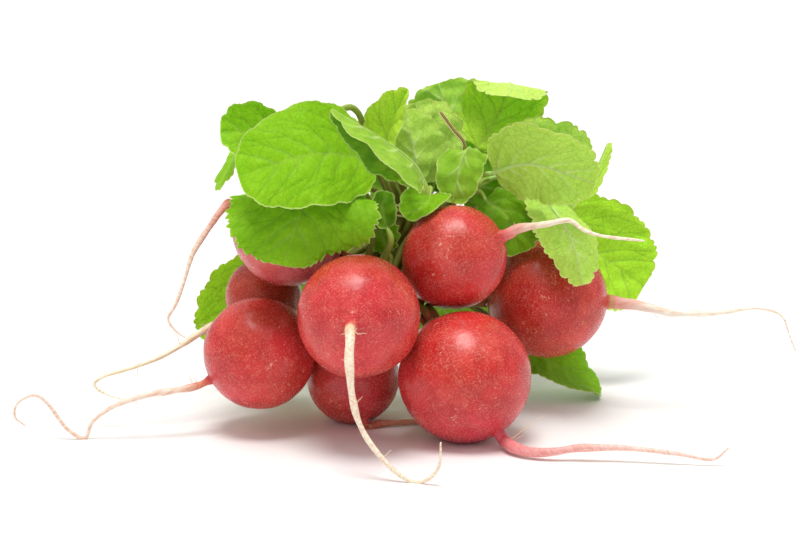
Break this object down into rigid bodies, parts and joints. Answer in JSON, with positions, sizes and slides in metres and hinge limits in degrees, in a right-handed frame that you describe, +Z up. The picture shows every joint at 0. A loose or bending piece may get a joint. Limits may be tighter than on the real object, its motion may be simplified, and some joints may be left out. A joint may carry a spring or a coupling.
{
  "type": "bunch of radishes",
  "caption": "Bunch of round red radishes lying on its side, with curling taproots, toothed green leaves and a twist tie round the stalks; fresh vegetable for food displays.",
  "frame": {"origin": "middle of the whole bunch's footprint, on the table it lies on", "axes": "+Z up, -Y the front from which the taproots of the nearest radishes point at the viewer, +X the bunch's long direction to the viewer's right"},
  "size_m": [0.205, 0.124, 0.0886],
  "materials": {
    "radish_root": "satin red skin paling to cream on the taproot",
    "radish_leaf": "matte green",
    "tie_paper": "tan paper strip with a pale edge"
  },
  "bodies": {
    "root": {"root_top": "radish_root", "root_front": "radish_root", "root_left": "radish_root", "root_right_front": "radish_root", "root_right_back": "radish_root", "root_low": "radish_root", "root_upper_left": "radish_root", "root_left_back": "radish_root", "leaf_front_top": "radish_leaf", "leaf_front_low": "radish_leaf", "leaf_front_fold": "radish_leaf", "leaf_upright": "radish_leaf", "leaf_left_small": "radish_leaf", "leaf_left_edge": "radish_leaf", "leaf_centre_back": "radish_leaf", "leaf_centre_front": "radish_leaf", "leaf_centre_left": "radish_leaf", "leaf_top_fold": "radish_leaf", "leaf_right_big": "radish_leaf", "leaf_right_behind": "radish_leaf", "leaf_right_dark": "radish_leaf", "leaf_right_edge": "radish_leaf", "leaf_right_low": "radish_leaf", "leaf_right_hanging": "radish_leaf", "leaf_behind_top_root": "radish_leaf", "leaf_over_top_root": "radish_leaf", "leaf_curled": "radish_leaf", "leaf_small_olive": "radish_leaf", "leaf_small_low": "radish_leaf", "leaf_left_low": "radish_leaf", "leaf_right_floor": "radish_leaf", "leaf_back_top": "radish_leaf", "leaf_back_left": "radish_leaf", "leaf_back_middle": "radish_leaf", "leaf_left_high": "radish_leaf", "leaf_back_right": "radish_leaf", "leaf_back_floor": "radish_leaf", "leaf_back_left_low": "radish_leaf", "twist_tie": "tie_paper"}
  },
  "joints": []
}
